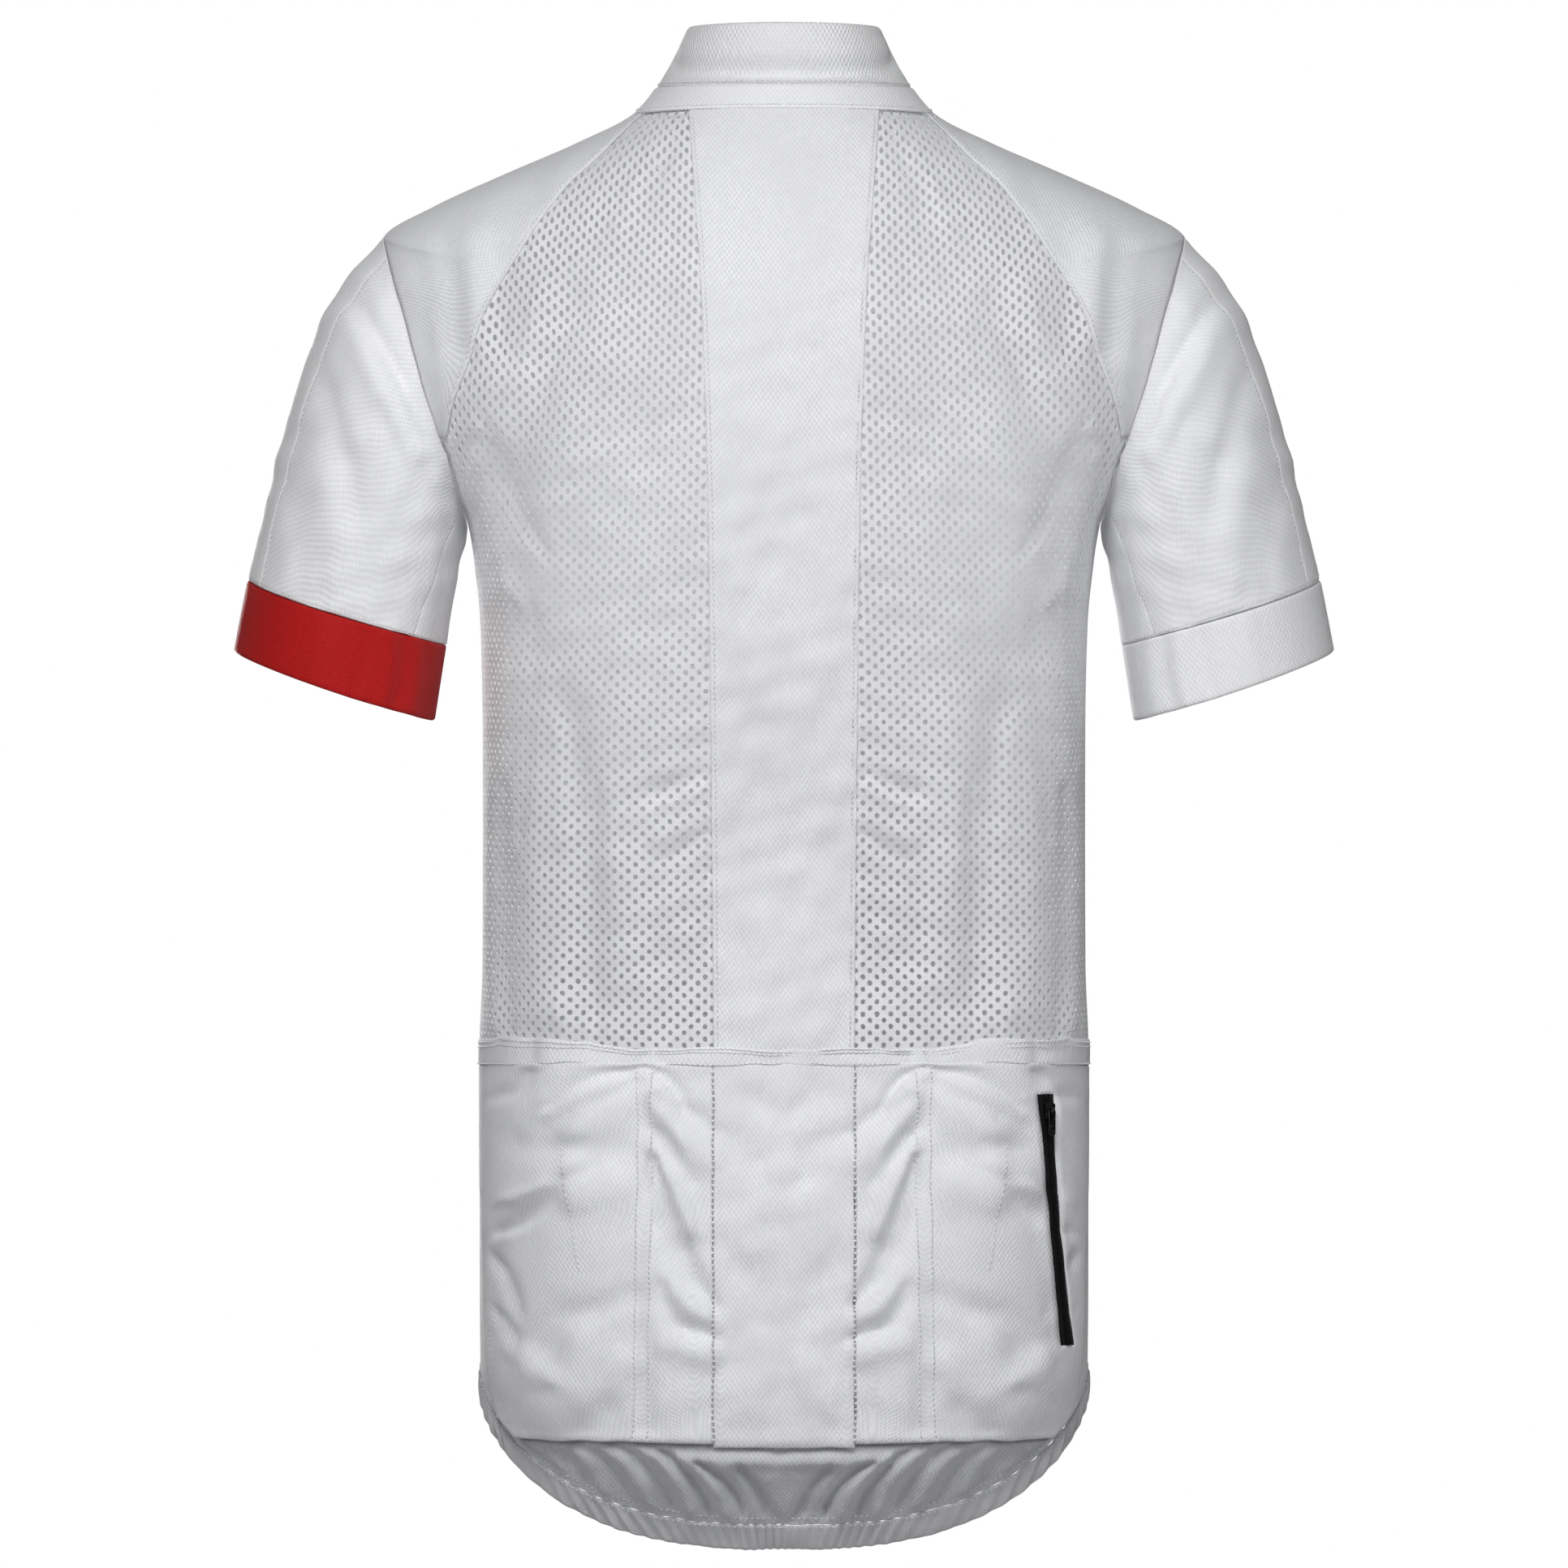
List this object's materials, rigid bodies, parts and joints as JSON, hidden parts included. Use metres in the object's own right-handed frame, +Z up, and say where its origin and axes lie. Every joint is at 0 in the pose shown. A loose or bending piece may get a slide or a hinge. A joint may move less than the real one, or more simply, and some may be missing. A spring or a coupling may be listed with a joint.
{
  "type": "short-sleeved cycling jersey",
  "caption": "Short-sleeved zip-neck cycling jersey in white knit and mesh, filled out as if worn, with a red cuff, back pockets under an elastic band, a pocket zip and a gathered drop tail.",
  "frame": {"origin": "inside the garment between the shoulders, 6 mm below the seam of the neck band at the centre back, where the wearer's shoulders carry it", "axes": "+Z up along the wearer's trunk, +Y out of the wearer's back, +X to the wearer's left"},
  "size_m": [0.5418, 0.2379, 0.7526],
  "materials": {
    "white_knit": "fine polyester knit, matt with a slight sheen",
    "white_mesh": "polyester mesh with an even lattice of small holes",
    "white_elastic": "knit-covered elastic, gathered",
    "red_knit": "smooth knit cuff band, matt",
    "black_zip_tape": "woven tape with a coil chain",
    "black_slider": "satin black lacquer on die-cast metal"
  },
  "bodies": {
    "garment": {"collar": "white_knit", "neck_band": "white_knit", "back_centre": "white_knit", "back_mesh_left": "white_mesh", "back_mesh_right": "white_mesh", "back_lower": "white_knit", "shoulder_left": "white_knit", "shoulder_right": "white_knit", "front": "white_knit", "sleeve_back_left": "white_knit", "sleeve_back_right": "white_knit", "sleeve_front_left": "white_knit", "sleeve_front_right": "white_knit", "sleeve_under_left": "white_knit", "sleeve_under_right": "white_knit", "cuff_left": "red_knit", "cuff_right": "white_knit", "pocket_left": "white_knit", "pocket_centre": "white_knit", "pocket_right": "white_knit", "pocket_band": "white_elastic", "hem_band_back": "white_elastic", "hem_band_front": "white_elastic", "front_zip": "black_zip_tape", "pocket_zip": "black_zip_tape", "front_zip_slider": "black_slider", "pocket_zip_slider": "black_slider"},
    "front_pull": {"front_zip_pull": "black_slider"},
    "pocket_pull": {"pocket_zip_pull": "black_slider"}
  },
  "joints": [
    {"name": "front_pull_swing", "type": "hinge", "parent": "garment", "child": "front_pull", "pos_m": [0, -0.07663, -0.0254], "axis": [-1, 0, 0], "range_deg": [0, 150]},
    {"name": "pocket_pull_swing", "type": "hinge", "parent": "garment", "child": "pocket_pull", "pos_m": [-0.13155, 0.08029, -0.48719], "axis": [0.7556, 0.6529, 0.0538], "range_deg": [0, 150]}
  ]
}
